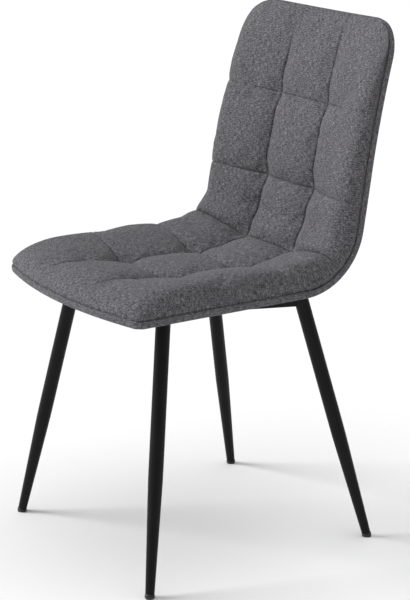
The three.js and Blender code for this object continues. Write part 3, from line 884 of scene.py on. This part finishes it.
def rod(points, ups, radii, sides, closed=False):
    """Vertices of rings round a bent rod through the points. `ups` are directions off the
    surface that it lies on."""
    if closed:
        tangents = np.roll(points, -1, axis=0) - np.roll(points, 1, axis=0)
    else:
        tangents = np.gradient(points, axis=0)
    aside = np.cross(tangents, ups)
    aside = aside / np.linalg.norm(aside, axis=-1, keepdims=True)
    above = np.cross(aside, tangents)
    above = above / np.linalg.norm(above, axis=-1, keepdims=True)
    turns = np.linspace(0, 2 * math.pi, sides, endpoint=False)[None, :, None]
    spokes = np.cos(turns) * aside[:, None] - np.sin(turns) * above[:, None]
    return (points[:, None] + np.asarray(radii)[:, None, None] * spokes).reshape(-1, 3)


def add_rods(name, rods, sides, material):
    """One piece made of many short rods of rings with so many sides, each closed at its ends."""
    vertices, faces = [], []
    for ring_points in rods:
        count = len(ring_points) // sides
        own = ring_faces(count, sides, closed=False)
        own.append(tuple(range(sides - 1, -1, -1)))
        own.append(tuple(range((count - 1) * sides, count * sides)))
        faces += [tuple(i + len(vertices) for i in face) for face in own]
        vertices.extend(ring_points)
    return add_piece(name, vertices, faces, material)


def off_surface(along):
    """Directions off the shell's profile, towards the sitter."""
    angle = profile(along)[2]
    return np.stack([np.zeros(angle.shape), -np.sin(angle), np.cos(angle)], axis=-1)


def seam_lines():
    """Points down in each seam of the pad, and the directions off the pad there."""
    rows = np.arange(0.03, SHELL_LENGTH - 0.03, STITCH_STEP)
    columns = np.arange(0.02 - HALF_WIDTH, HALF_WIDTH - 0.02, STITCH_STEP)
    for seam in (-LENGTHWISE_SEAM, LENGTHWISE_SEAM):
        yield pad_surface(np.array([seam]), rows, finely=True)[:, 0], off_surface(rows)
    for seam in CROSS_SEAMS:
        ups = off_surface(np.full(columns.shape, seam))
        yield pad_surface(columns, np.array([seam]), finely=True)[0], ups


def seam_stitches():
    """Short stitches of thread that dip into the fabric at both ends."""
    radii = THREAD_RADIUS * np.array([0.5, 1, 1, 1, 0.5])
    lift = THREAD_RADIUS * np.array([-0.8, 0.6, 1, 0.6, -0.8])[:, None]
    stitches = []
    for points, ups in seam_lines():
        for start in range(0, len(points) - STITCH_RINGS, STITCH_RINGS + 1):
            span = slice(start, start + STITCH_RINGS)
            raised = points[span] + lift * ups[span]
            stitches.append(rod(raised, ups[span], radii, sides=6))
    add_rods("seam_stitches", stitches, 6, THREAD)


def staple_places():
    """Middles of the staples round the dust cover, and whether each lies across the chair."""
    hem = DUST_COVER_INSET + STAPLE_HEM
    last = DUST_COVER_LENGTH - STAPLE_HEM
    for side in (-1, 1):
        for along in np.arange(0.04, last - 0.01, 0.031):
            yield side * (HALF_WIDTH - hem), along, False
    for along in (hem, last):
        for across in np.arange(-0.18, 0.181, 0.030):
            yield across, along, True


def staples():
    """Staples that lie on the dust cover, with their ends bent up into it."""
    radii = np.full(4, STAPLE_RADIUS)
    ups = np.tile([0.0, 0.0, -1.0], (4, 1))
    rods = []
    for across, along, lies_across in staple_places():
        if under_plates(np.array(across), np.array(along)) > 0:
            continue
        reach = STAPLE_HALF_LENGTH * np.array([-1.0, -0.96, 0.96, 1.0])
        heights = np.array([0.0004, -0.0011, -0.0011, 0.0004])
        x = across + (reach if lies_across else 0 * reach)
        s = along + (0 * reach if lies_across else reach)
        rods.append(rod(shell_point(x, s, heights), ups, radii, sides=6))
    add_rods("dust_cover_staples", rods, 6, ZINC)


seam_stitches()
staples()

# ---- Leg frame ------------------------------------------------------------------------------


def leg_axis(name):
    """Foot and top centres of a leg, from its tube and its glide."""
    low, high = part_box("glide_" + name)
    foot = Vector(((low.x + high.x) / 2, (low.y + high.y) / 2, 0))
    tube = [vertex.co for vertex in nodes["leg_" + name].data.vertices]
    level = max(place.z for place in tube)
    ends = [place for place in tube if place.z > level - 1e-4]
    return foot, sum(ends, Vector()) / len(ends)


def turned_about(foot, top, stations, segments):
    """Points of rings round the line from foot to top. Each station is (radius, distance), and
    a distance may be None for the ring cut level with the top."""
    axis = (top - foot).normalized()
    first = axis.cross(Vector((0, 1, 0))).normalized()
    second = axis.cross(first)
    rings = []
    for radius, distance in stations:
        ring = []
        for turn in np.linspace(0, 2 * math.pi, segments, endpoint=False):
            spoke = radius * (math.cos(turn) * first + math.sin(turn) * second)
            reach = (top.z - foot.z - spoke.z) / axis.z if distance is None else distance
            point = foot + spoke + reach * axis
            point.z = max(point.z, 0)
            ring.append(point)
        rings.append(ring)
    return rings


def leg_tube(name):
    """A tube that tapers smoothly to its foot, open at both ends."""
    foot, top = leg_axis(name)
    start = GLIDE_HEIGHT + GAP
    heights = [start, 0.03, 0.08, 0.13, 0.165, 0.180, 0.190, 0.200, 0.215, 0.26, 0.34]
    widening = [min(h / TAPER_LENGTH, 1) for h in heights]
    eased = [w - 0.02 * math.exp(-((h - TAPER_LENGTH) / 0.02) ** 2) for w, h in zip(widening, heights)]
    outside = [(FOOT_RADIUS + (LEG_RADIUS - FOOT_RADIUS) * w, h) for w, h in zip(eased, heights)]
    outside.append((LEG_RADIUS, None))
    inside = [(radius - LEG_WALL, distance) for radius, distance in reversed(outside)]
    lip = [(outside[0][0] - 0.0004, start - 0.0001)]
    segments = 64
    rings = turned_about(foot, top, lip + outside + inside, segments)
    faces = ring_faces(len(rings), segments, closed=True)
    tube = add_piece("tube_" + name, sum(rings, []), faces, POWDER_COAT)
    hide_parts("leg_" + name)
    sharpen(tube)


def sharpen(obj):
    """Marks the piece's sharp edges, so that only its round surfaces shade smoothly."""
    obj.data.set_sharp_from_angle(angle=math.radians(35))


def glide(name):
    """A round plug whose stem sits in the leg and whose rim stands out below it."""
    foot, top = leg_axis(name)
    outer = GLIDE_RADIUS
    stem = FOOT_RADIUS - LEG_WALL - GAP
    stations = [(0.0004, -0.003), (outer - 0.0016, -0.003), (outer - 0.0007, 0.0008)]
    stations += [(outer - 0.0001, 0.0022), (outer, 0.0040), (outer - 0.0002, 0.0054)]
    stations += [(outer - 0.0006, GLIDE_HEIGHT - 0.0005), (outer - 0.0012, GLIDE_HEIGHT)]
    stations += [(stem, GLIDE_HEIGHT), (stem, 0.020), (stem - 0.001, 0.022), (0.0004, 0.022)]
    segments = 48
    rings = turned_about(foot, top, stations, segments)
    faces = ring_faces(len(rings), segments, closed=False)
    faces.append(tuple(range(segments - 1, -1, -1)))
    last = (len(rings) - 1) * segments
    faces.append(tuple(range(last, last + segments)))
    plug = add_piece("foot_glide_" + name, sum(rings, []), faces, PLASTIC)
    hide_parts("glide_" + name)
    sharpen(plug)


def weld_bead(name):
    """The rippled weld that joins a leg's top to its corner plate."""
    foot, top = leg_axis(name)
    ring = turned_about(foot, top, [(LEG_RADIUS, None)], 120)[0]
    centres = np.array(ring) - np.array([0, 0, 0.0004])
    turns = np.linspace(0, 2 * math.pi, len(centres), endpoint=False)
    radii = WELD_RADIUS + WELD_RIPPLE * (np.sin(30 * turns) + np.sin(3 * turns))
    outward = centres - np.array(top)
    sides = 10
    vertices = rod(centres, outward, radii, sides, closed=True)
    faces = ring_faces(len(centres), sides, closed=True)
    add_piece("weld_bead_" + name, vertices, faces, POWDER_COAT)


for leg in LEGS:
    leg_tube(leg)
    glide(leg)
    weld_bead(leg)

# ---- CAD nodes that stay --------------------------------------------------------------------


def finish_node(name, material, edge=0.0):
    """Gives a CAD node its material, and breaks its sharp edges by `edge`."""
    obj = nodes[name]
    obj.data.materials.clear()
    obj.data.materials.append(material)
    if edge:
        bevel = obj.modifiers.new("edges", "BEVEL")
        bevel.width = edge
        bevel.segments = 2
        bevel.limit_method = "ANGLE"
        bevel.angle_limit = math.radians(40)


for leg in LEGS:
    finish_node("corner_plate_" + leg, POWDER_COAT, 0.0006)
    for fastener in ("bolt_", "lock_washer_", "flat_washer_", "t_nut_"):
        finish_node(fastener + leg, ZINC, 0.0002)
for bar in ("front_crossbar", "rear_crossbar", "brace_left", "brace_right"):
    finish_node(bar, POWDER_COAT, 0.0015)
finish_node("plywood_shell", BIRCH)

# ---- Floor, light and camera ----------------------------------------------------------------


def studio_floor():
    """The pale floor that the chair stands on."""
    mesh = bpy.data.meshes.new("studio_floor")
    half = 30
    corners = [(-half, -half, 0), (half, -half, 0), (half, half, 0), (-half, half, 0)]
    mesh.from_pydata(corners, [], [(0, 1, 2, 3)])
    shader = Shader("pale_floor")
    haze = shader.noise(object_place(shader), 0.6, 2.0)
    colour = shader.ramp(haze, (0.3, (0.95, 0.95, 0.95)), (0.7, (0.97, 0.97, 0.97)))
    mesh.materials.append(shader.finish(Base_Color=colour, Roughness=0.9))
    floor = bpy.data.objects.new("studio_floor", mesh)
    bpy.context.scene.collection.objects.link(floor)


def broad_light(name, direction, spread_angle, strength):
    """An even, soft light that falls from a direction over the whole floor."""
    light = bpy.data.lights.new(name, "SUN")
    light.angle = math.radians(spread_angle)
    light.energy = strength
    lamp = bpy.data.objects.new(name, light)
    lamp.rotation_mode = "QUATERNION"
    lamp.rotation_quaternion = Vector(direction).to_track_quat("Z", "Y")
    bpy.context.scene.collection.objects.link(lamp)


def studio_light():
    """A soft key light from the chair's front right, a top light and a dim surround."""
    world = bpy.data.worlds.new("studio")
    world.use_nodes = True
    background = world.node_tree.nodes["Background"]
    background.inputs["Color"].default_value = (1, 1, 1, 1)
    background.inputs["Strength"].default_value = 0.24
    scene = bpy.context.scene
    scene.world = world
    scene.view_settings.view_transform = "Standard"
    broad_light("key", direction=(-1.6, -1.9, 1.4), spread_angle=28, strength=2.65)
    broad_light("top", direction=(0.0, 0.0, 1.0), spread_angle=70, strength=1.35)


def studio_camera():
    data = bpy.data.cameras.new("camera")
    data.sensor_width = 36
    data.lens = 113.79
    camera = bpy.data.objects.new("camera", data)
    camera.location = (2.57122, -1.67618, 1.29645)
    aim = Vector((0.01166, 0.00658, 0.40593))
    camera.rotation_mode = "QUATERNION"
    camera.rotation_quaternion = (aim - camera.location).to_track_quat("-Z", "Y")
    scene = bpy.context.scene
    scene.collection.objects.link(camera)
    scene.camera = camera


studio_floor()
studio_light()
studio_camera()
